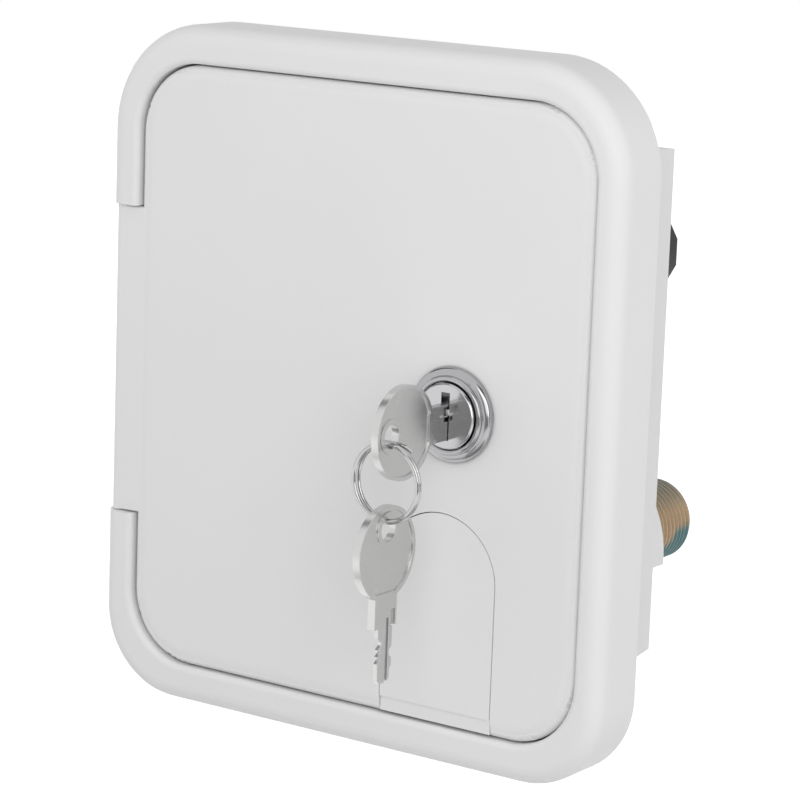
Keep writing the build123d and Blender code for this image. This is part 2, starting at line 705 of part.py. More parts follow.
screw_washer_back_y = cam_front_y + cam_thickness + 0.6
with BuildPart() as cam_washer:
    with BuildSketch(facing(screw_washer_back_y)):
        with Locations((lock_x, lock_z)):
            Circle(cam_screw_head_r + 0.9)
            Circle(cam_screw_r + 0.2, mode=Mode.SUBTRACT)
    extrude(amount=0.6)
cam_washer.part.label = "cam_washer"
export_step(cam_washer.part, "parts/cam_washer.step")

with BuildPart() as cam_screw:
    with BuildSketch(across(lock_z)):
        with BuildLine():
            shank_end_y = plug_shoulder_y - 1.6
            Polyline((lock_x, shank_end_y), (lock_x + cam_screw_r - 0.4, shank_end_y),
                     (lock_x + cam_screw_r, shank_end_y + 0.4), (lock_x + cam_screw_r, screw_washer_back_y),
                     (lock_x + cam_screw_head_r, screw_washer_back_y),
                     (lock_x + cam_screw_head_r, screw_washer_back_y + 1.2),
                     (lock_x + cam_screw_head_r - 1.0, screw_washer_back_y + cam_screw_head),
                     (lock_x, screw_washer_back_y + cam_screw_head), close=True)
        make_face()
    revolve(axis=turning_axis(lock_x, lock_z))
    with BuildSketch(facing(screw_washer_back_y + cam_screw_head)):
        with Locations((lock_x, lock_z)):
            Rectangle(4.2, 0.9)
            Rectangle(0.9, 4.2)
    extrude(amount=1.3, mode=Mode.SUBTRACT)
cam_screw.part.label = "cam_screw"
export_step(cam_screw.part, "parts/cam_screw.step")


def key_blank(plane):
    """Key of flat stock; the plane's x axis runs from the bow's centre to the blade's tip."""
    half = key_thickness / 2
    blade = key_blade_height / 2
    waist = key_shoulder_end + 2.6
    with BuildPart(mode=Mode.PRIVATE) as blank:
        with BuildSketch(plane):
            Circle(key_bow_r)
            with Locations((key_shoulder_end / 2, 0)):
                Rectangle(key_shoulder_end, key_shoulder_height)
            with BuildLine():
                Polyline((key_shoulder_end - 1, blade), (waist, blade), (waist + 0.7, blade - 1.0),
                         (waist + 2.0, blade - 1.0), (waist + 2.7, blade), (waist + 4.6, blade),
                         (waist + 5.4, blade - 0.7), (key_tip - 1.0, blade - 0.7), (key_tip, blade - 1.7),
                         (key_tip, -blade + 1.2), (key_tip - 0.8, -blade + 0.2),
                         (waist + 6.4, -blade), (waist + 5.6, -blade + 0.9), (waist + 4.8, -blade + 0.2),
                         (waist + 4.0, -blade + 1.2), (waist + 3.2, -blade + 0.4),
                         (waist + 2.2, -blade + 1.5), (waist + 1.4, -blade + 1.5),
                         (waist + 0.4, -blade), (key_shoulder_end - 1, -blade), close=True)
            make_face()
            with Locations((-key_hole_offset, 0)):
                Circle(key_hole_r, mode=Mode.SUBTRACT)
        extrude(amount=half, both=True)
        # Both faces of the bow are sunk inside a rim, up to the shoulder and a land round the hole
        for side in (1, -1):
            with BuildSketch(plane.offset(side * half)):
                Circle(key_bow_r - key_rim_width)
                with Locations((-key_hole_offset, 0)):
                    Circle(key_hole_r + key_hole_land, mode=Mode.SUBTRACT)
                with BuildLine():
                    neck_half = key_shoulder_height / 2
                    Polyline((key_neck, neck_half - key_neck_chamfer), (key_neck + key_neck_chamfer, neck_half),
                             (key_shoulder_end, neck_half), (key_shoulder_end, -neck_half),
                             (key_neck + key_neck_chamfer, -neck_half),
                             (key_neck, -neck_half + key_neck_chamfer), close=True)
                make_face(mode=Mode.SUBTRACT)
            extrude(amount=-side * key_field_depth, mode=Mode.SUBTRACT)
            # Grooves along the blade and down the upper tab of the shoulder
            with BuildSketch(plane.offset(side * half)):
                with Locations(((key_groove_start + key_tip + 1.0) / 2, side * 0.7)):
                    Rectangle(key_tip + 1.0 - key_groove_start, key_groove_width)
                with Locations((key_shoulder_end - 3.1, side * (neck_half - 0.6 - key_tab_groove / 2))):
                    Rectangle(6.2, key_tab_groove)
            extrude(amount=-side * key_groove_depth, mode=Mode.SUBTRACT)
    return blank.part


# Key in the lock, its blade towards the plug
with BuildPart() as key_in_lock:
    add(key_blank(Plane((lock_x, key_bow_y, key_z), x_dir=(0, 1, 0), z_dir=(1, 0, 0))))
key_in_lock.part.label = "key_in_lock"
export_step(key_in_lock.part, "parts/key_in_lock.step")

# Split ring: two flat turns that hang in the key's hole
hole_y = key_bow_y - key_hole_offset
half_axial = (ring_turn_pitch + ring_wire_axial) / 2
rest_r = key_hole_r - ring_rest_gap
ring_drop = sqrt(rest_r ** 2 - half_axial ** 2) - ring_wire_radial / 2
ring_z = key_z - ring_drop - ring_mean_r
with BuildPart() as key_ring:
    with BuildLine() as ring_path:
        Helix(ring_turn_pitch, 2 * ring_turn_pitch - 0.2, ring_mean_r,
              center=(lock_x, hole_y - ring_turn_pitch + 0.1, ring_z), direction=(0, 1, 0))
    with BuildSketch(Plane(ring_path.line @ 0, x_dir=(0, 1, 0), z_dir=ring_path.line % 0)):
        Rectangle(ring_wire_axial, ring_wire_radial)
    sweep(path=ring_path.line, is_frenet=True)
key_ring.part.label = "key_ring"
export_step(key_ring.part, "parts/key_ring.step")

# Spare key, hanging from the ring
spare_hole_z = ring_z - ring_mean_r - ring_drop
with BuildPart() as spare_key:
    add(key_blank(Plane((lock_x, hole_y, spare_hole_z - key_hole_offset), x_dir=(0, 0, -1), z_dir=(1, 0, 0))))
spare_key.part.label = "spare_key"
export_step(spare_key.part, "parts/spare_key.step")

# Brass inlet body: flange, hexagon, stepped bore and a threaded tail. The thread is drawn at its
# outer radius where it is free, and at its pitch radius where the nut engages it.
seal_back_y = cup_floor_y - cup_wall
flange_seat_y = seal_back_y - inlet_seal_thickness
inlet_flange_front_y = flange_seat_y - inlet_flange_thickness
inlet_front_y = inlet_flange_front_y - inlet_hex_length
valve_seat_y = seal_back_y + valve_depth
nut_back_y = cup_floor_y + nut_washer_thickness + nut_thickness
with BuildPart() as inlet_body:
    with BuildSketch(facing(inlet_flange_front_y)):
        with Locations((inlet_x, inlet_z)):
            RegularPolygon(inlet_hex_flats / 2, 6, major_radius=False)
    extrude(amount=inlet_hex_length)
    chamfer(inlet_body.faces().sort_by(Axis.Y)[0].edges(), 0.6)
    with BuildSketch(across(inlet_z)):
        with BuildLine():
            Polyline((inlet_x, inlet_flange_front_y), (inlet_x + inlet_flange_r - 0.5, inlet_flange_front_y),
                     (inlet_x + inlet_flange_r, inlet_flange_front_y + 0.5),
                     (inlet_x + inlet_flange_r, flange_seat_y), (inlet_x + tail_pitch_r, flange_seat_y),
                     (inlet_x + tail_pitch_r, nut_back_y), (inlet_x + tail_r, nut_back_y + 0.5),
                     (inlet_x + tail_r, tail_end_y - 1.0), (inlet_x + tail_r - 1.0, tail_end_y),
                     (inlet_x, tail_end_y), close=True)
        make_face()
    revolve(axis=turning_axis(inlet_x, inlet_z))
    with BuildSketch(across(inlet_z)):
        with BuildLine():
            Polyline((inlet_x, inlet_front_y), (inlet_x + socket_r, inlet_front_y),
                     (inlet_x + socket_r, inlet_flange_front_y - 1.0),
                     (inlet_x + tail_bore_r - 1.6, inlet_flange_front_y - 1.0),
                     (inlet_x + tail_bore_r - 1.6, valve_seat_y), (inlet_x + tail_bore_r, valve_seat_y),
                     (inlet_x + tail_bore_r, tail_end_y), (inlet_x, tail_end_y), close=True)
        make_face()
    revolve(axis=turning_axis(inlet_x, inlet_z), mode=Mode.SUBTRACT)
inlet_body.part.label = "inlet_body"
export_step(inlet_body.part, "parts/inlet_body.step")

with BuildPart() as inlet_seal:
    with BuildSketch(facing(seal_back_y)):
        with Locations((inlet_x, inlet_z)):
            Circle(inlet_flange_r)
            Circle(tail_pitch_r + 0.1, mode=Mode.SUBTRACT)
    extrude(amount=inlet_seal_thickness)
inlet_seal.part.label = "inlet_seal"
export_step(inlet_seal.part, "parts/inlet_seal.step")

with BuildPart() as tail_washer:
    with BuildSketch(facing(cup_floor_y + nut_washer_thickness)):
        with Locations((inlet_x, inlet_z)):
            Circle(nut_flats / 2)
            Circle(tail_pitch_r + 0.2, mode=Mode.SUBTRACT)
    extrude(amount=nut_washer_thickness)
tail_washer.part.label = "tail_washer"
export_step(tail_washer.part, "parts/tail_washer.step")

with BuildPart() as tail_nut:
    with BuildSketch(facing(nut_back_y)):
        with Locations((inlet_x, inlet_z)):
            RegularPolygon(nut_flats / 2, 6, major_radius=False)
            Circle(tail_pitch_r + 0.02, mode=Mode.SUBTRACT)
    extrude(amount=nut_thickness)
tail_nut.part.label = "tail_nut"
export_step(tail_nut.part, "parts/tail_nut.step")

# Quick-connect hose plug, screwed into the inlet body
plug_tip_y = inlet_front_y - plug_length
collar_y = inlet_front_y - plug_hex_length
with BuildPart() as hose_plug:
    with BuildSketch(facing(inlet_front_y)):
        with Locations((inlet_x, inlet_z)):
            RegularPolygon(plug_hex_flats / 2, 6, major_radius=False)
    extrude(amount=plug_hex_length)
    chamfer(hose_plug.faces().sort_by(Axis.Y)[0].edges(), 0.5)
    with BuildSketch(across(inlet_z)):
        with BuildLine():
            Polyline((inlet_x, inlet_flange_front_y - 2.5), (inlet_x + socket_r - 0.02, inlet_flange_front_y - 2.5),
                     (inlet_x + socket_r - 0.02, inlet_front_y - 0.5), (inlet_x + plug_land_r, inlet_front_y - 0.5),
                     (inlet_x + plug_land_r, collar_y - 4.5), (inlet_x + plug_neck_r, collar_y - 6.2),
                     (inlet_x + plug_neck_r, collar_y - 9.4), (inlet_x + plug_land_r, collar_y - 10.6),
                     (inlet_x + plug_land_r, collar_y - 13.0), (inlet_x + plug_nose_r, collar_y - 14.2),
                     (inlet_x + plug_nose_r, collar_y - 15.0), (inlet_x + plug_nose_r - 1.5, collar_y - 15.0),
                     (inlet_x + plug_nose_r - 1.5, collar_y - 17.1), (inlet_x + plug_nose_r, collar_y - 17.1),
                     (inlet_x + plug_nose_r, plug_tip_y + 2.2), (inlet_x + plug_nose_r - 1.3, plug_tip_y),
                     (inlet_x, plug_tip_y), close=True)
        make_face()
    revolve(axis=turning_axis(inlet_x, inlet_z))
    with BuildSketch(facing(inlet_flange_front_y)):
        with Locations((inlet_x, inlet_z)):
            Circle(plug_flow_r)
    extrude(amount=inlet_flange_front_y - plug_tip_y, mode=Mode.SUBTRACT)
hose_plug.part.label = "hose_plug"
export_step(hose_plug.part, "parts/hose_plug.step")

with BuildPart() as plug_o_ring:
    with BuildSketch(across(inlet_z)):
        with Locations((inlet_x + plug_nose_r - 0.55, collar_y - 16.05)):
            Circle(0.92)
    revolve(axis=turning_axis(inlet_x, inlet_z))
plug_o_ring.part.label = "plug_o_ring"
export_step(plug_o_ring.part, "parts/plug_o_ring.step")

# Strainer disc at the foot of the hose plug
strainer_back_y = inlet_flange_front_y - 1.0
with BuildPart() as strainer:
    with BuildSketch(facing(strainer_back_y)):
        with Locations((inlet_x, inlet_z)):
            Circle(socket_r - 0.1)
            with HexLocations(strainer_hole_r + 0.3, 4, 4):
                Circle(strainer_hole_r, mode=Mode.SUBTRACT)
    extrude(amount=1.4)
strainer.part.label = "strainer"
export_step(strainer.part, "parts/strainer.step")

# Check valve: cage with its seat, poppet and spring
cage_r = tail_bore_r - 0.02
cage_bore_r = poppet_stem_r + running_gap
poppet_front_y = valve_seat_y + 1.8
with BuildPart() as valve_cage:
    with BuildSketch(across(inlet_z)):
        with BuildLine():
            Polyline((inlet_x + valve_seat_r, valve_seat_y), (inlet_x + cage_r, valve_seat_y),
                     (inlet_x + cage_r, valve_seat_y + valve_length),
                     (inlet_x + cage_r - cage_wall, valve_seat_y + valve_length),
                     (inlet_x + cage_r - cage_wall, poppet_front_y - 0.02),
                     (inlet_x + valve_seat_r, poppet_front_y - 0.02), close=True)
        make_face()
    revolve(axis=turning_axis(inlet_x, inlet_z))
    with BuildSketch(facing(valve_seat_y + valve_length)):
        with Locations((inlet_x, inlet_z)):
            Rectangle(2 * (cage_r - 0.5), 1.6)
            Rectangle(1.6, 2 * (cage_r - 0.5))
            Circle(cage_bore_r + 1.3)
            Circle(cage_bore_r, mode=Mode.SUBTRACT)
    extrude(amount=2.0)
valve_cage.part.label = "valve_cage"
export_step(valve_cage.part, "parts/valve_cage.step")

stem_end_y = valve_seat_y + valve_length + 0.6
with BuildPart() as valve_poppet:
    with BuildSketch(across(inlet_z)):
        with BuildLine():
            Polyline((inlet_x, poppet_front_y - 1.4), (inlet_x + valve_seat_r - 1.0, poppet_front_y - 1.4),
                     (inlet_x + valve_seat_r - 0.3, poppet_front_y), (inlet_x + poppet_r, poppet_front_y),
                     (inlet_x + poppet_r, poppet_front_y + 1.4), (inlet_x + poppet_stem_r + 0.6, poppet_front_y + 1.8),
                     (inlet_x + poppet_stem_r, poppet_front_y + 3.2), (inlet_x + poppet_stem_r, stem_end_y),
                     (inlet_x, stem_end_y), close=True)
        make_face()
    revolve(axis=turning_axis(inlet_x, inlet_z))
valve_poppet.part.label = "valve_poppet"
export_step(valve_poppet.part, "parts/valve_poppet.step")

valve_spring_start = poppet_front_y + 1.9 + valve_wire_r
valve_spring_end = valve_seat_y + valve_length - 2.0 - valve_wire_r - 0.1
with BuildPart() as valve_spring:
    with BuildLine() as valve_coil:
        Helix((valve_spring_end - valve_spring_start) / 4, valve_spring_end - valve_spring_start, 3.4,
              center=(inlet_x, valve_spring_start, inlet_z), direction=(0, 1, 0))
    with BuildSketch(Plane(valve_coil.line @ 0, z_dir=valve_coil.line % 0)):
        RegularPolygon(valve_wire_r, 6)
    sweep(path=valve_coil.line, is_frenet=True)
valve_spring.part.label = "valve_spring"
export_step(valve_spring.part, "parts/valve_spring.step")

# Spare port: threaded plug from inside, seal and ribbed nut behind the box
port_seal_front_y = box_back_inner_y - port_seal_thickness
with BuildPart() as port_plug:
    with BuildSketch(across(port_z)):
        with BuildLine():
            port_flange_y = port_seal_front_y - port_flange_thickness
            Polyline((port_x, port_flange_y), (port_x + port_flange_r - 0.6, port_flange_y),
                     (port_x + port_flange_r, port_flange_y + 0.6),
                     (port_x + port_flange_r, port_seal_front_y), (port_x + port_plug_r, port_seal_front_y),
                     (port_x + port_plug_r, box_depth + port_nut_thickness + 0.8),
                     (port_x + port_plug_bore_r, box_depth + port_nut_thickness + 0.8),
                     (port_x + port_plug_bore_r, port_seal_front_y + 0.5), (port_x, port_seal_front_y + 0.5),
                     close=True)
        make_face()
    revolve(axis=turning_axis(port_x, port_z))
port_plug.part.label = "port_plug"
export_step(port_plug.part, "parts/port_plug.step")

with BuildPart() as port_seal:
    with BuildSketch(facing(box_back_inner_y)):
        with Locations((port_x, port_z)):
            Circle(port_flange_r - 0.4)
            Circle(port_plug_r + 0.1, mode=Mode.SUBTRACT)
    extrude(amount=port_seal_thickness)
port_seal.part.label = "port_seal"
export_step(port_seal.part, "parts/port_seal.step")

with BuildPart() as port_nut:
    with BuildSketch(facing(box_depth + port_nut_thickness)):
        with Locations((port_x, port_z)):
            RegularPolygon(port_nut_flats / 2, port_nut_sides, major_radius=False,
                           rotation=180 / port_nut_sides)
            Circle(port_plug_r + 0.02, mode=Mode.SUBTRACT)
    extrude(amount=port_nut_thickness)
port_nut.part.label = "port_nut"
export_step(port_nut.part, "parts/port_nut.step")
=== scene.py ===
"""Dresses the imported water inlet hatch: outlet thread, keys, split ring, finishes, light and camera."""

import json
from math import cos, radians, sin, tau

import bpy
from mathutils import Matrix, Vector

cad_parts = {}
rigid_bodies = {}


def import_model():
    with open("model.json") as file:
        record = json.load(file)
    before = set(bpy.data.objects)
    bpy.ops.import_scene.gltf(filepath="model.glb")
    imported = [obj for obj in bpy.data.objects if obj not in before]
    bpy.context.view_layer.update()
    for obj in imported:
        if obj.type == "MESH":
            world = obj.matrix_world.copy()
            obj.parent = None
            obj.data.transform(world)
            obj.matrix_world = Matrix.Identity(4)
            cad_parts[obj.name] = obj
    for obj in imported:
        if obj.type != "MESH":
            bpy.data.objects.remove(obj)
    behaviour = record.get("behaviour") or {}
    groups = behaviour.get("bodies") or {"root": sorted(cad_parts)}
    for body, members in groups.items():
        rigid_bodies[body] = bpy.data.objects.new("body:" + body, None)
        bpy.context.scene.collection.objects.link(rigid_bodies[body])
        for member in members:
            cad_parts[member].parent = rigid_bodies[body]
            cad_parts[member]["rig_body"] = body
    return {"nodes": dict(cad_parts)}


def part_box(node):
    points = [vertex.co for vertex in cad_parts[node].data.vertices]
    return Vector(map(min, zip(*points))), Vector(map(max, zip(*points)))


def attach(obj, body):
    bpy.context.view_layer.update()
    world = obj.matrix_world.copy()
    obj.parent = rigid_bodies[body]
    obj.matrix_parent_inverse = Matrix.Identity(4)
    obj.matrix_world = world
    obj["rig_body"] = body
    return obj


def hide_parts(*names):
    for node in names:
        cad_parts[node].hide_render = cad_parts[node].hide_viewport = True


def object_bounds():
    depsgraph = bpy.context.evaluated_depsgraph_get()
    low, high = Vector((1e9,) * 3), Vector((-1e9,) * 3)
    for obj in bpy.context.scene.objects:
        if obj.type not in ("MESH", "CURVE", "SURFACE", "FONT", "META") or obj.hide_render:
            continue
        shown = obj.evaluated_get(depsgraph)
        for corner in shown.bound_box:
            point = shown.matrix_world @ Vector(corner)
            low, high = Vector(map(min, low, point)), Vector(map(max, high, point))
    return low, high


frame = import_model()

bl_info = {
    "name": "Caravan Water Inlet",
    "version": (1, 0, 0),
    "blender": (4, 5, 0),
    "location": "3D View > Sidebar > Water Inlet",
    "description": "Finishes a lockable caravan water inlet hatch and sets its studio",
    "category": "Object",
}

MM = 0.001
PLATING_WAVE = 0.004 * MM
CAD_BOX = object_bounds()


# Sizes and colours


class WaterInletSizes(bpy.types.PropertyGroup):
    rosette_bead: bpy.props.FloatProperty(
        name="Rosette Bead", description="Outer radius of the polished bead inside the lock's rosette",
        default=8.9 * MM, unit="LENGTH")
    thread_pitch: bpy.props.FloatProperty(
        name="Thread Pitch", description="Distance between the turns of the outlet's pipe thread",
        default=1.814 * MM, unit="LENGTH")
    thread_depth: bpy.props.FloatProperty(
        name="Thread Depth", description="Depth of the pipe thread below its crests",
        default=1.162 * MM, unit="LENGTH")
    thread_crest: bpy.props.FloatProperty(
        name="Thread Crest Radius", description="Outer radius of the pipe thread",
        default=10.478 * MM, unit="LENGTH")
    door_rim_r: bpy.props.FloatProperty(
        name="Door Rim Radius", description="Radius of the door's outer edge",
        default=1.6 * MM, unit="LENGTH")
    door_corner_r: bpy.props.FloatProperty(
        name="Door Corner Radius", description="Radius of the door's four corners",
        default=17.1 * MM, unit="LENGTH")
    door_width: bpy.props.FloatProperty(
        name="Door Width", description="Width of the door's panel without its hinge",
        default=130.2 * MM, unit="LENGTH")
    door_field: bpy.props.FloatProperty(
        name="Door Field Height", description="How far the door's field stands above its border",
        default=0.5 * MM, unit="LENGTH")
    key_shoulder: bpy.props.FloatProperty(
        name="Key Shoulder", description="Distance from a key's tip to the end of its shoulder",
        default=13.1 * MM, unit="LENGTH")
    key_blade: bpy.props.FloatProperty(
        name="Key Blade", description="Thickness of a key's blade below its shoulder",
        default=1.1 * MM, unit="LENGTH")
    key_cuts: bpy.props.FloatProperty(
        name="Key Cuts", description="How far the spare key's cuts move up from their place on the CAD key",
        default=3.0 * MM, unit="LENGTH")
    key_edge: bpy.props.FloatProperty(
        name="Key Edge", description="Width of the rolled edge round the stamped keys",
        default=0.16 * MM, unit="LENGTH")
    ring_wire_radial: bpy.props.FloatProperty(
        name="Ring Wire, Radial", description="Thickness of the split ring's wire across the ring",
        default=1.2 * MM, unit="LENGTH")
    ring_wire_axial: bpy.props.FloatProperty(
        name="Ring Wire, Axial", description="Thickness of the split ring's wire along its axis",
        default=0.84 * MM, unit="LENGTH")
    ring_spread: bpy.props.FloatProperty(
        name="Ring Spread", description="Angle that the keys hold the ring's rear turn open",
        default=radians(3), subtype="ANGLE")
    ring_end_lift: bpy.props.FloatProperty(
        name="Ring End Lift", description="How far the rear end of the ring stands out from its turns",
        default=0.9 * MM, unit="LENGTH")
    ring_end_turn: bpy.props.FloatProperty(
        name="Ring End", description="How far round from the top the split ring's ends lie",
        default=radians(38), subtype="ANGLE")
    metal_edge: bpy.props.FloatProperty(
        name="Metal Edge", description="Width of the broken edge on nuts and turned metal",
        default=0.2 * MM, unit="LENGTH")
    floor_drop: bpy.props.FloatProperty(
        name="Floor Drop", description="Height of the hatch above the studio floor",
        default=0.3, unit="LENGTH")


class WaterInletColours(bpy.types.PropertyGroup):
    moulded_white: bpy.props.FloatVectorProperty(
        name="Moulded White", description="White of the surround, the box, the door and the flap",
        default=(0.79, 0.79, 0.79), subtype="COLOR", min=0, max=1)
    fitting_white: bpy.props.FloatVectorProperty(
        name="Fitting White", description="Natural white of the hose plug and its strainer",
        default=(0.74, 0.74, 0.72), subtype="COLOR", min=0, max=1)
    foam: bpy.props.FloatVectorProperty(
        name="Foam", description="Closed-cell foam of the wall gasket and the door seal",
        default=(0.055, 0.055, 0.06), subtype="COLOR", min=0, max=1)
    rubber: bpy.props.FloatVectorProperty(
        name="Rubber", description="Black rubber of the small seals",
        default=(0.03, 0.03, 0.03), subtype="COLOR", min=0, max=1)
    rosette: bpy.props.FloatVectorProperty(
        name="Rosette", description="Satin chrome of the lock's rosette",
        default=(0.43, 0.43, 0.44), subtype="COLOR", min=0, max=1)
    chrome: bpy.props.FloatVectorProperty(
        name="Chrome", description="Plating of the lock's plug",
        default=(0.51, 0.51, 0.52), subtype="COLOR", min=0, max=1)
    steel: bpy.props.FloatVectorProperty(
        name="Steel", description="Zinc plated steel of the nuts, washers and the cam",
        default=(0.6, 0.6, 0.61), subtype="COLOR", min=0, max=1)
    ring_nickel: bpy.props.FloatVectorProperty(
        name="Ring Nickel", description="Nickel plating of the split ring",
        default=(0.5, 0.5, 0.5), subtype="COLOR", min=0, max=1)
    nickel: bpy.props.FloatVectorProperty(
        name="Nickel", description="Nickel plating of the keys",
        default=(0.63, 0.63, 0.625), subtype="COLOR", min=0, max=1)
    brass: bpy.props.FloatVectorProperty(
        name="Brass", description="Dull machined brass of the outlet",
        default=(0.46, 0.335, 0.215), subtype="COLOR", min=0, max=1)
    # The blue-green on the lower half of the brass is a painted reflection
    brass_painted_reflection: bpy.props.FloatVectorProperty(
        name="Brass Reflection", description="Blue-green film on the lower half of the brass",
        default=(0.1, 0.22, 0.235), subtype="COLOR", min=0, max=1)
    brass_top_tint: bpy.props.FloatVectorProperty(
        name="Brass Topside", description="Greenish grey on the top of the brass",
        default=(0.23, 0.245, 0.21), subtype="COLOR", min=0, max=1)
    valve: bpy.props.FloatVectorProperty(
        name="Valve", description="Blue plastic of the check valve",
        default=(0.05, 0.14, 0.4), subtype="COLOR", min=0, max=1)
    dark_grey: bpy.props.FloatVectorProperty(
        name="Dark Grey", description="Moulded plastic of the spare port's plug and nut",
        default=(0.028, 0.0285, 0.029), subtype="COLOR", min=0, max=1)
    backdrop: bpy.props.FloatVectorProperty(
        name="Backdrop", description="Colour of the studio's floor",
        default=(0.9, 0.9, 0.9), subtype="COLOR", min=0, max=1)


# Finishes


class Reading:
    """A number that varies over a surface; arithmetic on it adds Math nodes."""

    def __init__(self, nodes, socket):
        self.nodes = nodes
        self.socket = socket

    def _with(self, operation, *values):
        return self.nodes.node("ShaderNodeMath", {"operation": operation}, dict(enumerate(values)))

    def __add__(self, other):
        return self._with("ADD", self, other)

    __radd__ = __add__

    def __sub__(self, other):
        return self._with("SUBTRACT", self, other)

    def __rsub__(self, other):
        return self._with("SUBTRACT", other, self)

    def __mul__(self, other):
        return self._with("MULTIPLY", self, other)

    __rmul__ = __mul__

    def __truediv__(self, other):
        return self._with("DIVIDE", self, other)

    def __rtruediv__(self, other):
        return self._with("DIVIDE", other, self)

    def __pow__(self, other):
        return self._with("POWER", self, other)

    def __rpow__(self, other):
        return self._with("POWER", other, self)

    def held(self):
        """The number kept between 0 and 1."""
        return self._with("MINIMUM", self._with("MAXIMUM", self, 0), 1)


class Nodes:
    """Adds nodes to the tree of a material or of the world."""

    def __init__(self, tree):
        self.tree = tree

    def node(self, kind, settings=None, sockets=None, out=None):
        """Add a node, set it up, fill its sockets and return one output as a Reading."""
        node = self.tree.nodes.new(kind)
        for setting, value in (settings or {}).items():
            setattr(node, setting, value)
        for key, value in (sockets or {}).items():
            if isinstance(key, int):
                self.fill(node.inputs[key], value)
            else:
                self.fill(next(s for s in node.inputs if s.name == key and s.enabled), value)
        usable = [s for s in node.outputs if s.enabled]
        chosen = usable[0] if out is None else next(s for s in usable if s.name == out)
        return Reading(self, chosen)

    def fill(self, socket, value):
        """Link a Reading to the socket, or set a plain value on it."""
        if isinstance(value, Reading):
            self.tree.links.new(value.socket, socket)
        elif socket.type == "RGBA" and len(value) == 3:
            socket.default_value = (*value, 1)
        else:
            socket.default_value = value

    def shown(self):
        """1 where the camera sees it, also in metal or through glass, and 0 where it only gives light."""
        seen = self.node("ShaderNodeLightPath", out="Is Camera Ray")
        mirrored = self.node("ShaderNodeLightPath", out="Is Glossy Ray")
        through = self.node("ShaderNodeLightPath", out="Is Transmission Ray")
        return (seen + mirrored + through).held()


class Finish(Nodes):
    """A material's nodes, ending in its Principled shader."""

    def __init__(self, name):
        self.material = bpy.data.materials.new(name)
        self.material.use_nodes = True
        super().__init__(self.material.node_tree)
        self.shader = self.tree.nodes["Principled BSDF"]

    def place(self):
        """Where a point lies on the object, in metres."""
        return self.node("ShaderNodeTexCoord", out="Object")

    def along(self, axis):
        """How far along an axis a point lies, in metres."""
        return self.node("ShaderNodeSeparateXYZ", {}, {"Vector": self.place()}, axis)

    def noise(self, size, detail=2.0, stretch=(1, 1, 1)):
        """Cloudy pattern whose blotches measure about size."""
        spread = self.node("ShaderNodeMapping", {}, {"Vector": self.place(), "Scale": stretch})
        sockets = {"Vector": spread, "Scale": 1 / size, "Detail": detail}
        return self.node("ShaderNodeTexNoise", {}, sockets, "Fac")

    def pores(self, size):
        """Cells that measure about size, dark at their middles."""
        sockets = {"Vector": self.place(), "Scale": 1 / size}
        return self.node("ShaderNodeTexVoronoi", {"feature": "F1"}, sockets, "Distance")

    def blend(self, amount, first, second):
        """The first colour where amount is 0, the second where it is 1."""
        sockets = {"Factor": amount, "A": first, "B": second}
        return self.node("ShaderNodeMix", {"data_type": "RGBA"}, sockets, "Result")

    def shade(self, colour, amount, strength):
        """The colour, a little darker and lighter as amount goes from 0 to 1."""
        dark = [c * (1 - strength) for c in colour]
        light = [min(c * (1 + strength), 1) for c in colour]
        return self.blend(amount, dark, light)

    def bump(self, height, depth):
        """Relief of the given depth, in metres."""
        return self.node("ShaderNodeBump", {}, {"Strength": 1.0, "Distance": depth, "Height": height})

    def finished(self, **sockets):
        """Fill the shader's sockets, named with _ for a space, and return the material."""
        for key, value in sockets.items():
            self.fill(self.shader.inputs[key.replace("_", " ")], value)
        return self.material


def moulded(name, colour, roughness, grain=0.5 * MM, depth=0.018 * MM):
    """Injection-moulded plastic with a fine spark-eroded grain."""
    f = Finish(name)
    fine = f.noise(grain, 3.0)
    broad = f.noise(35 * MM, 1.0)
    return f.finished(
        Base_Color=f.shade(colour, fine * 0.4 + broad * 0.6, 0.02),
        Roughness=roughness + (fine - 0.5) * 0.12,
        Normal=f.bump(fine, depth),
        Specular_IOR_Level=0.22)


def foam(name, colour):
    """Closed-cell foam: small dark pores in a matt skin."""
    f = Finish(name)
    cells = f.pores(0.7 * MM)
    cloud = f.noise(4 * MM)
    return f.finished(
        Base_Color=f.shade(colour, (cells * 0.9 + cloud * 0.3).held(), 0.35),
        Roughness=0.85 + cloud * 0.1,
        Normal=f.bump(cells, 0.15 * MM))


def rubber(name, colour):
    """Smooth black rubber with a dusty bloom."""
    f = Finish(name)
    cloud = f.noise(3 * MM, 4.0)
    return f.finished(
        Base_Color=f.shade(colour, cloud, 0.3),
        Roughness=0.5 + cloud * 0.2,
        Normal=f.bump(f.noise(0.3 * MM), 0.01 * MM))


def plated(name, colour, roughness):
    """Bright plating, slightly wavy, with fine haze."""
    f = Finish(name)
    haze = f.noise(1.5 * MM, 4.0)
    return f.finished(
        Base_Color=f.shade(colour, haze, 0.03),
        Metallic=1.0,
        Roughness=roughness + (haze - 0.5) * roughness * 0.5,
        Normal=f.bump(f.noise(2.5 * MM), PLATING_WAVE))


def rosette_chrome(name, colour, centre, bead):
    """Satin chrome round a polished bead."""
    f = Finish(name)
    across = f.along("X") - centre.x
    up = f.along("Z") - centre.z
    bead_edge = 0.3 * MM
    outer = (((across * across + up * up) ** 0.5 - bead) / bead_edge).held()
    haze = f.noise(1.5 * MM, 4.0)
    return f.finished(
        Base_Color=f.shade(colour, haze, 0.03),
        Metallic=1.0,
        Roughness=0.04 + outer * 0.12 + (haze - 0.5) * 0.02,
        Normal=f.bump(f.noise(2.5 * MM), PLATING_WAVE))


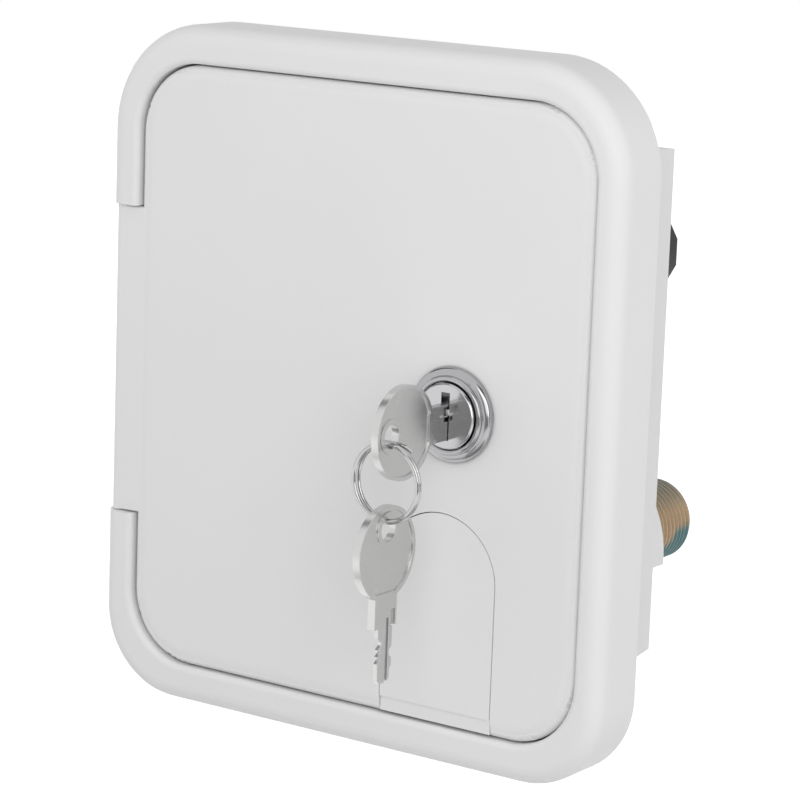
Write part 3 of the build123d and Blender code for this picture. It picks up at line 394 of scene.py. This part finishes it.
def brushed(name, colour, roughness, along):
    """Metal with fine lines drawn along one axis."""
    f = Finish(name)
    stretch = [0.06 if axis == along else 1.0 for axis in range(3)]
    lines = f.noise(0.08 * MM, 3.0, stretch)
    cloud = f.noise(6 * MM)
    return f.finished(
        Base_Color=f.shade(colour, (lines * 0.5 + cloud * 0.5).held(), 0.03),
        Metallic=1.0,
        Roughness=roughness + (lines - 0.5) * 0.06 + (cloud - 0.5) * 0.04,
        Normal=f.bump(lines, 0.0015 * MM))


def dull_brass(name, colour, painted_reflection, top_tint, centre_z, reach, end_y):
    """Tarnished machined brass: greenish grey towards the top, and a painted blue-green reflection below
    that climbs near the tail's end.
    """
    climb_start = end_y - 10.2 * MM
    climb_length = 2.6 * MM
    # Levels run from -1 at the tail's underside to 1 on its top
    # The painted blue-green reflection covers the tail below this level, and climbs by this much near its
    # end
    painted_reflection_level = -0.28
    painted_reflection_climb = 0.38
    top_tint_level = 0.38
    f = Finish(name)
    cloud = f.noise(5 * MM, 4.0)
    spots = f.noise(0.8 * MM, 3.0)
    streaks = f.noise(0.6 * MM, 3.0, (1, 0.12, 1))
    level = (f.along("Z") - centre_z) / reach + (cloud - 0.5) * 0.2
    outer = ((f.along("Y") - climb_start) / climb_length).held()
    # low: where the blue-green reflection is painted on, with less metal and a little more roughness
    low = ((outer * painted_reflection_climb + painted_reflection_level - level) * 4.5).held()
    # top: a greenish grey tint towards the top of the tail, set by height
    top = ((level - top_tint_level) * 1.8).held()
    metal = f.shade(colour, (cloud * 0.4 + streaks * 0.4 + spots * 0.2).held(), 0.3)
    top_tinted = f.blend(top * 0.8, metal, top_tint)
    return f.finished(
        Base_Color=f.blend(low * 0.92, top_tinted, painted_reflection),
        Metallic=0.7 - low * 0.4 - top * 0.2,
        Roughness=0.42 + (spots - 0.5) * 0.2 + low * 0.08,
        Normal=f.bump(spots * 0.5 + streaks * 0.5, 0.02 * MM))


# Modelling


def only(piece):
    """Make the piece the one selected, active object."""
    bpy.ops.object.select_all(action="DESELECT")
    piece.select_set(True)
    bpy.context.view_layer.objects.active = piece


def added(name, add, **settings):
    """Add a primitive with nothing else selected, and return it."""
    bpy.ops.object.select_all(action="DESELECT")
    add(**settings)
    piece = bpy.context.active_object
    piece.name = name
    return piece


def apply_all(piece):
    """Apply the piece's modifiers in their order."""
    only(piece)
    for modifier in list(piece.modifiers):
        bpy.ops.object.modifier_apply(modifier=modifier.name)


def from_node(node, name):
    """A copy of a CAD node, merged and with its flat faces made whole."""
    weld = 0.0005 * MM
    flat = radians(0.3)
    piece = bpy.data.objects.new(name, frame["nodes"][node].data.copy())
    bpy.context.scene.collection.objects.link(piece)
    only(piece)
    bpy.ops.mesh.customdata_custom_splitnormals_clear()
    bpy.ops.object.mode_set(mode="EDIT")
    bpy.ops.mesh.select_all(action="SELECT")
    bpy.ops.mesh.remove_doubles(threshold=weld)
    bpy.ops.mesh.dissolve_limited(angle_limit=flat)
    bpy.ops.object.mode_set(mode="OBJECT")
    return piece


def round_edges(piece, width):
    """Round all the piece's sharp edges."""
    bevel = piece.modifiers.new("Edges", "BEVEL")
    bevel.width = width
    bevel.segments = 2
    bevel.limit_method = "ANGLE"
    bevel.angle_limit = radians(35)
    bevel.use_clamp_overlap = True
    apply_all(piece)
    smooth(piece)


def smooth(piece):
    """Shade round forms smooth, and keep flat faces flat up to their rounded edges."""
    only(piece)
    bpy.ops.object.shade_smooth_by_angle(angle=radians(30))
    weighted = piece.modifiers.new("Flat Faces", "WEIGHTED_NORMAL")
    weighted.weight = 100
    weighted.keep_sharp = True
    apply_all(piece)


def pick(piece, chosen):
    """Select the vertices that meet the test, and go into edit mode."""
    only(piece)
    bpy.ops.object.mode_set(mode="EDIT")
    bpy.ops.mesh.select_all(action="DESELECT")
    bpy.ops.object.mode_set(mode="OBJECT")
    for vertex in piece.data.vertices:
        vertex.select = chosen(vertex)
    bpy.ops.object.mode_set(mode="EDIT")


def place_in_mesh(piece):
    """Move the object's place, turn and scale into its mesh."""
    only(piece)
    bpy.ops.object.transform_apply(location=True, rotation=True, scale=True)


def take_away(piece, cutter):
    """Cut the cutter's shape out of the piece, and throw the cutter away."""
    cut = piece.modifiers.new("Cut", "BOOLEAN")
    cut.operation = "DIFFERENCE"
    cut.solver = "EXACT"
    cut.object = cutter
    apply_all(piece)
    bpy.data.objects.remove(cutter)


def stand_for(piece, node, finish):
    """The piece takes the CAD node's place on its body, and its finish."""
    piece.data.materials.clear()
    piece.data.materials.append(finish)
    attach(piece, frame["nodes"][node]["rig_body"])
    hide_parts(node)


def dress(finish, *nodes):
    """Give CAD nodes a finish through their objects' material slots."""
    for node in nodes:
        held = frame["nodes"][node]
        if not held.material_slots:
            held.data.materials.append(finish)
        for slot in held.material_slots:
            slot.material = finish


def wound(name, centre, start_y, pitch, turns, steps, profile):
    """Sweep a profile, drawn on the +X side of the axis along Y, into a closed coil."""
    vertices, shape = profile
    coil = added(name, bpy.ops.mesh.primitive_circle_add, vertices=vertices, radius=1.0,
                 fill_type="NOTHING", location=(centre.x, start_y, centre.z))
    bpy.ops.object.mode_set(mode="EDIT")
    bpy.ops.mesh.select_all(action="SELECT")
    shape()
    bpy.ops.object.mode_set(mode="OBJECT")
    screw = coil.modifiers.new("Turns", "SCREW")
    screw.axis = "Y"
    screw.angle = tau
    screw.screw_offset = pitch
    screw.iterations = turns
    screw.steps = steps
    screw.render_steps = steps
    screw.use_normal_calculate = True
    apply_all(coil)
    bpy.ops.object.mode_set(mode="EDIT")
    bpy.ops.mesh.select_all(action="SELECT")
    bpy.ops.mesh.fill_holes(sides=vertices)
    bpy.ops.mesh.select_all(action="SELECT")
    bpy.ops.mesh.normals_make_consistent(inside=False)
    bpy.ops.object.mode_set(mode="OBJECT")
    return coil


# Pieces


class WATERINLET_OT_mouldings(bpy.types.Operator):
    """Give the surround, the box, the door and the hose flap their moulded white"""
    bl_idname = "water_inlet.mouldings"
    bl_label = "Mouldings"

    def execute(self, context):
        colours = context.scene.water_inlet_colours
        dress(moulded("moulded white", colours.moulded_white, roughness=0.42), "housing", "keeper")
        white = moulded("door white", colours.moulded_white, roughness=0.4,
                        grain=0.6 * MM, depth=0.014 * MM)
        dress(white, "hose_flap")
        door = from_node("door", "door_panel")
        self.round_rim(door, context.scene.water_inlet_sizes)
        smooth(door)
        stand_for(door, "door", white)
        return {"FINISHED"}

    def round_rim(self, door, sizes):
        """Widen the CAD door's small rim fillet to the moulding's full radius."""
        low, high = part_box("door")
        border_y = low.y + sizes.door_field
        corner = sizes.door_corner_r
        # The CAD rim's radius, how far in the field's slope begins, and a tolerance
        fillet = 0.6 * MM
        land = 1.0 * MM
        touch = 0.02 * MM
        for vertex in door.data.vertices:
            at = vertex.co
            core_x = min(max(at.x, high.x - sizes.door_width + corner), high.x - corner)
            core_z = min(max(at.z, low.z + corner), high.z - corner)
            outward = Vector((at.x - core_x, 0, at.z - core_z))
            inset = corner - outward.length
            below = at.y - border_y
            if below > fillet + touch or not -touch < inset < land + touch:
                continue
            wider = inset * sizes.door_rim_r / fillet
            if inset > fillet:
                wider = sizes.door_rim_r + (inset - fillet) * 0.5
            outward.normalize()
            vertex.co += outward * (inset - wider)
            if below > 0:
                vertex.co.y = border_y + below * sizes.door_rim_r / fillet


class WATERINLET_OT_seals(bpy.types.Operator):
    """Give the foam gaskets and the rubber seals their finish"""
    bl_idname = "water_inlet.seals"
    bl_label = "Seals"

    def execute(self, context):
        colours = context.scene.water_inlet_colours
        dress(foam("closed-cell foam", colours.foam), "wall_gasket", "door_seal")
        black = rubber("black rubber", colours.rubber)
        dress(black, "lock_gasket", "inlet_seal", "plug_o_ring", "port_seal")
        return {"FINISHED"}


class WATERINLET_OT_lock(bpy.types.Operator):
    """Plate the lock's rosette and break the edges of its plug"""
    bl_idname = "water_inlet.lock"
    bl_label = "Lock"

    def execute(self, context):
        sizes = context.scene.water_inlet_sizes
        colours = context.scene.water_inlet_colours
        low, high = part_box("lock_plug")
        centre = (low + high) / 2
        satin = rosette_chrome("rosette chrome", colours.rosette, centre, sizes.rosette_bead)
        dress(satin, "lock_barrel")
        plug = from_node("lock_plug", "lock_plug_face")
        round_edges(plug, sizes.metal_edge * 0.5)
        stand_for(plug, "lock_plug", plated("plug chrome", colours.chrome, roughness=0.16))
        return {"FINISHED"}


class WATERINLET_OT_keys(bpy.types.Operator):
    """Correct the two stamped keys' blades and roll their edges"""
    bl_idname = "water_inlet.keys"
    bl_label = "Keys"

    def execute(self, context):
        sizes = context.scene.water_inlet_sizes
        colour = context.scene.water_inlet_colours.nickel
        in_lock = brushed("key nickel", colour, roughness=0.26, along=1)
        on_ring = brushed("spare key nickel", colour, roughness=0.26, along=2)
        # Node, piece, direction of the tip, finish
        keys = (
            ("key_in_lock", "key_in_plug", Vector((0, 1, 0)), in_lock),
            ("spare_key", "key_on_ring", Vector((0, 0, -1)), on_ring),
        )
        for node, name, towards_tip, finish in keys:
            key = from_node(node, name)
            self.shorten_shoulder(key, node, towards_tip, sizes)
            if node == "spare_key":
                self.move_cuts(key, node, towards_tip, sizes)
            self.mill_blade(key, node, towards_tip, sizes)
            round_edges(key, sizes.key_edge)
            stand_for(key, node, finish)
        return {"FINISHED"}

    def tip(self, node, towards_tip):
        """How far the key reaches in the direction of its tip."""
        return max(corner.dot(towards_tip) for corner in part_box(node))

    def shorten_shoulder(self, key, node, towards_tip, sizes):
        """Move the end of the shoulder back from the tip, where the CAD key has it too far down."""
        cad_shoulder = 10.9 * MM
        near = 0.3 * MM
        end = self.tip(node, towards_tip) - cad_shoulder
        pick(key, lambda vertex: abs(vertex.co.dot(towards_tip) - end) < near)
        bpy.ops.transform.translate(value=towards_tip * (cad_shoulder - sizes.key_shoulder))
        bpy.ops.object.mode_set(mode="OBJECT")

    def move_cuts(self, key, node, towards_tip, sizes):
        """Move the cuts on the blade's front edge up towards the shoulder."""
        low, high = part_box(node)
        middle = (low.y + high.y) / 2
        # The cuts' stretch of the blade, above the tip
        lowest = low.z + 1.5 * MM
        highest = low.z + 8.2 * MM
        pick(key, lambda vertex: vertex.co.y < middle and lowest < vertex.co.z < highest)
        bpy.ops.transform.translate(value=-towards_tip * sizes.key_cuts)
        bpy.ops.object.mode_set(mode="OBJECT")

    def mill_blade(self, key, node, towards_tip, sizes):
        """Mill the blade thinner than the bow, from its left side."""
        low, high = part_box(node)
        at = (low + high) / 2
        at += towards_tip * (self.tip(node, towards_tip) - at.dot(towards_tip))
        size = sizes.key_shoulder * 2
        at.x = high.x - sizes.key_blade - size / 2
        cutter = added("blade_cutter", bpy.ops.mesh.primitive_cube_add, size=size, location=at)
        place_in_mesh(cutter)
        take_away(key, cutter)


class WATERINLET_OT_key_ring(bpy.types.Operator):
    """Wind the split ring from round wire"""
    bl_idname = "water_inlet.key_ring"
    bl_label = "Split Ring"

    def execute(self, context):
        sizes = context.scene.water_inlet_sizes
        low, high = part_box("key_ring")
        centre = (low + high) / 2
        pitch = (high.y - low.y - sizes.ring_wire_axial) / 2
        mean_radius = (high.x - low.x - sizes.ring_wire_radial) / 2
        start_y = low.y + sizes.ring_wire_axial / 2
        around = 16

        def wire():
            bpy.ops.transform.resize(value=(sizes.ring_wire_radial / 2, sizes.ring_wire_axial / 2, 1))
            bpy.ops.transform.translate(value=(mean_radius, 0, 0))

        ring = wound("split_ring", centre, start_y, pitch, turns=2, steps=72, profile=(around, wire))
        place_in_mesh(ring)
        bpy.ops.object.mode_set(mode="EDIT")
        bpy.ops.mesh.select_all(action="SELECT")
        turn = radians(90) - sizes.ring_end_turn
        bpy.ops.transform.rotate(value=turn, orient_axis="Y", center_override=centre)
        bpy.ops.object.mode_set(mode="OBJECT")
        outward = Vector((sin(sizes.ring_end_turn), 0, cos(sizes.ring_end_turn)))
        self.open_up(ring, sizes, centre + outward * mean_radius, outward, around)
        only(ring)
        bpy.ops.object.shade_smooth_by_angle(angle=radians(40))
        finish = plated("ring nickel", context.scene.water_inlet_colours.ring_nickel, roughness=0.07)
        stand_for(ring, "key_ring", finish)
        return {"FINISHED"}

    def open_up(self, ring, sizes, end, outward, around):
        """Spread the rear turn from the front one, and lift its end out of line."""
        count = len(ring.data.vertices)
        pick(ring, lambda vertex: vertex.index >= count // 2)
        bpy.ops.transform.rotate(value=sizes.ring_spread, orient_axis="Z", center_override=end)
        bpy.ops.object.mode_set(mode="OBJECT")
        pick(ring, lambda vertex: vertex.index >= count - around)
        bpy.ops.transform.translate(value=outward * sizes.ring_end_lift, use_proportional_edit=True,
                                    proportional_size=6 * MM, use_proportional_connected=True)
        bpy.ops.object.mode_set(mode="OBJECT")


class WATERINLET_OT_outlet_thread(bpy.types.Operator):
    """Cut the pipe thread into the brass outlet"""
    bl_idname = "water_inlet.outlet_thread"
    bl_label = "Outlet Thread"

    def execute(self, context):
        sizes = context.scene.water_inlet_sizes
        colours = context.scene.water_inlet_colours
        low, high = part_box("inlet_body")
        centre = (low + high) / 2
        run_in = sizes.thread_pitch * 0.7
        start_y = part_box("tail_nut")[1].y + run_in
        start = (centre.x, start_y, centre.z)
        turns = int((high.y - start_y) / sizes.thread_pitch) + 2
        proud = 0.05 * MM
        depth = sizes.thread_depth + proud
        middle = sizes.thread_crest + proud - depth / 2
        half_mouth = sizes.thread_pitch * 0.41
        root_share = 0.16
        # A circle of four points, turned by 45 degrees, has this share of its radius to each side
        corner = 0.5 ** 0.5

        def groove():
            bpy.ops.transform.rotate(value=radians(45), orient_axis="Z", center_override=start)
            bpy.ops.transform.resize(value=(depth / 2 / corner, half_mouth / corner, 1))
            bpy.ops.transform.translate(value=(middle, 0, 0))
            bpy.ops.object.mode_set(mode="OBJECT")
            pick(context.active_object, lambda vertex: vertex.co.x < middle)
            bpy.ops.transform.resize(value=(1, root_share, 1))
            bpy.ops.mesh.select_all(action="SELECT")

        cutter = wound("thread_cutter", centre, start_y, sizes.thread_pitch, turns, steps=60,
                       profile=(4, groove))
        place_in_mesh(cutter)
        outlet = from_node("inlet_body", "threaded_outlet")
        take_away(outlet, cutter)
        only(outlet)
        bpy.ops.object.shade_smooth_by_angle(angle=radians(32))
        finish = dull_brass("outlet brass", colours.brass, colours.brass_painted_reflection, colours.brass_top_tint,
                            centre.z, sizes.thread_crest, high.y)
        stand_for(outlet, "inlet_body", finish)
        dress(finish, "tail_nut")
        return {"FINISHED"}


class WATERINLET_OT_fasteners(bpy.types.Operator):
    """Finish the pins, springs, washers, nuts and the cam"""
    bl_idname = "water_inlet.fasteners"
    bl_label = "Fasteners"

    def execute(self, context):
        colours = context.scene.water_inlet_colours
        zinc = plated("zinc plate", colours.steel, roughness=0.3)
        dress(zinc, "lock_washer", "lock_nut", "cam", "cam_washer", "cam_screw", "tail_washer")
        drawn = brushed("drawn steel", colours.steel, roughness=0.24, along=2)
        dress(drawn, "hinge_pin_upper", "hinge_pin_lower", "flap_pin", "flap_spring", "valve_spring")
        return {"FINISHED"}


class WATERINLET_OT_hose_plug(bpy.types.Operator):
    """Finish the hose plug and its strainer"""
    bl_idname = "water_inlet.hose_plug"
    bl_label = "Hose Plug"

    def execute(self, context):
        colour = context.scene.water_inlet_colours.fitting_white
        acetal = moulded("natural acetal", colour, roughness=0.32, grain=1.2 * MM, depth=0.01 * MM)
        dress(acetal, "hose_plug", "strainer")
        return {"FINISHED"}


class WATERINLET_OT_valve(bpy.types.Operator):
    """Finish the check valve"""
    bl_idname = "water_inlet.valve"
    bl_label = "Check Valve"

    def execute(self, context):
        colour = context.scene.water_inlet_colours.valve
        acetal = moulded("blue acetal", colour, roughness=0.3, grain=1.0 * MM, depth=0.008 * MM)
        dress(acetal, "valve_cage", "valve_poppet")
        return {"FINISHED"}


class WATERINLET_OT_spare_port(bpy.types.Operator):
    """Break the edges of the dark nut and finish the spare port"""
    bl_idname = "water_inlet.spare_port"
    bl_label = "Spare Port"

    def execute(self, context):
        sizes = context.scene.water_inlet_sizes
        colour = context.scene.water_inlet_colours.dark_grey
        finish = moulded("dark plastic", colour, roughness=0.45, grain=0.7 * MM, depth=0.02 * MM)
        nut = from_node("port_nut", "blanking_nut")
        round_edges(nut, sizes.metal_edge * 1.6)
        stand_for(nut, "port_nut", finish)
        dress(finish, "port_plug")
        return {"FINISHED"}


class WATERINLET_OT_stage(bpy.types.Operator):
    """Set the floor, the soft studio light and the camera"""
    bl_idname = "water_inlet.stage"
    bl_label = "Studio"

    def execute(self, context):
        scene = context.scene
        sizes = scene.water_inlet_sizes
        self.floor(scene, sizes)
        self.light(scene)
        self.cards()
        self.camera(scene)
        scene.view_settings.view_transform = "Standard"
        return {"FINISHED"}

    def floor(self, scene, sizes):
        """A floor that shows white to the camera and in metal, and keeps a soft shadow."""
        glow = 0.42
        at = (0, 0.5, CAD_BOX[0].z - sizes.floor_drop)
        floor = added("studio_floor", bpy.ops.mesh.primitive_plane_add, size=6, location=at)
        f = Finish("studio floor")
        f.finished(Base_Color=scene.water_inlet_colours.backdrop, Roughness=0.9, Emission_Color=(1, 1, 1),
                   Emission_Strength=f.shown() * glow)
        floor.data.materials.append(f.material)

    def light(self, scene):
        """An even white surrounding, and one weak soft box beside the camera."""
        ambient = 0.85
        world = bpy.data.worlds.new("studio")
        scene.world = world
        world.use_nodes = True
        background = world.node_tree.nodes["Background"]
        background.inputs["Color"].default_value = (1, 1, 1, 1)
        nodes = Nodes(world.node_tree)
        nodes.fill(background.inputs["Strength"], nodes.shown() * (1 - ambient) + ambient)
        lamp = added("soft_box", bpy.ops.object.light_add, type="AREA", location=(0.44, -0.55, 0.2))
        lamp.data.shape = "RECTANGLE"
        lamp.data.size = 0.6
        lamp.data.size_y = 0.5
        lamp.data.energy = 1.5
        aim = Vector((0, 0.01, 0)) - lamp.location
        lamp.rotation_euler = aim.to_track_quat("-Z", "Y").to_euler()

    def cards(self):
        """Cards that the camera doesn't see: flags show only in metal, the rest only take light away."""
        lock = Vector((0.03, -0.02, 0))
        black = Finish("black card").finished(Base_Color=(0.02, 0.02, 0.02), Roughness=1.0)
        grey = Finish("grey card").finished(Base_Color=(0.42, 0.42, 0.42), Roughness=1.0)
        # Name, place, width, height, paint, whether it shows in metal
        cards = (
            ("flag_front", (0.42, -1.0, -0.05), 0.9, 0.8, grey, True),
            ("flag_right", (0.8, -0.3, 0.1), 0.22, 0.8, black, True),
            ("flag_top_left", (-0.5, -0.2, 0.7), 0.2, 0.4, black, True),
            ("flag_left", (-0.7, -0.12, 0.5), 0.3, 0.3, black, True),
            ("flag_top_right", (0.5, -0.36, 0.5), 0.4, 0.4, black, True),
            ("flag_below", (0.1, -0.16, -0.36), 0.34, 0.3, grey, True),
            ("card_below", (0.0, -0.3, -0.36), 0.6, 0.5, black, False),
            ("card_above", (-0.03, 0.12, 0.36), 0.44, 0.38, black, False),
            ("card_right", (0.4, 0.33, -0.12), 0.22, 0.4, black, False),
        )
        for name, at, wide, tall, paint, in_metal in cards:
            card = added(name, bpy.ops.mesh.primitive_plane_add, size=1, location=at)
            card.scale = (wide, tall, 1)
            card.rotation_euler = (lock - Vector(at)).to_track_quat("Z", "Y").to_euler()
            card.data.materials.append(paint)
            card.visible_camera = False
            card.visible_glossy = in_metal
            card.visible_transmission = in_metal
            card.visible_diffuse = not in_metal
            card.visible_shadow = not in_metal

    def camera(self, scene):
        """The photograph's view, worked out from the surround's straight edges."""
        data = bpy.data.cameras.new("photo_view")
        data.sensor_width = 36.0
        data.lens = 146.549
        data.clip_start = 0.05
        data.clip_end = 20.0
        camera = bpy.data.objects.new("photo_view", data)
        scene.collection.objects.link(camera)
        camera.location = (0.438416, -0.630570, 0.152463)
        camera.rotation_euler = (radians(78.58393), radians(-2.02878), radians(34.99127))
        scene.camera = camera


class WATERINLET_PT_panel(bpy.types.Panel):
    """Steps that finish the water inlet, in order"""
    bl_idname = "WATERINLET_PT_panel"
    bl_label = "Water Inlet"
    bl_space_type = "VIEW_3D"
    bl_region_type = "UI"
    bl_category = "Water Inlet"

    def draw(self, context):
        for group in (context.scene.water_inlet_sizes, context.scene.water_inlet_colours):
            column = self.layout.column()
            for name in group.bl_rna.properties.keys():
                if name not in ("rna_type", "name"):
                    column.prop(group, name)
        for step in STEPS:
            self.layout.operator(step.bl_idname)


STEPS = (
    WATERINLET_OT_mouldings,
    WATERINLET_OT_seals,
    WATERINLET_OT_lock,
    WATERINLET_OT_keys,
    WATERINLET_OT_key_ring,
    WATERINLET_OT_outlet_thread,
    WATERINLET_OT_fasteners,
    WATERINLET_OT_hose_plug,
    WATERINLET_OT_valve,
    WATERINLET_OT_spare_port,
    WATERINLET_OT_stage,
)
CLASSES = (WaterInletSizes, WaterInletColours, *STEPS, WATERINLET_PT_panel)


def register():
    for item in CLASSES:
        bpy.utils.register_class(item)
    bpy.types.Scene.water_inlet_sizes = bpy.props.PointerProperty(type=WaterInletSizes)
    bpy.types.Scene.water_inlet_colours = bpy.props.PointerProperty(type=WaterInletColours)


def unregister():
    del bpy.types.Scene.water_inlet_colours
    del bpy.types.Scene.water_inlet_sizes
    for item in reversed(CLASSES):
        bpy.utils.unregister_class(item)


def main():
    register()
    bpy.ops.water_inlet.mouldings()
    bpy.ops.water_inlet.seals()
    bpy.ops.water_inlet.lock()
    bpy.ops.water_inlet.keys()
    bpy.ops.water_inlet.key_ring()
    bpy.ops.water_inlet.outlet_thread()
    bpy.ops.water_inlet.fasteners()
    bpy.ops.water_inlet.hose_plug()
    bpy.ops.water_inlet.valve()
    bpy.ops.water_inlet.spare_port()
    bpy.ops.water_inlet.stage()
    bpy.ops.object.select_all(action="DESELECT")


if __name__ == "__main__":
    main()
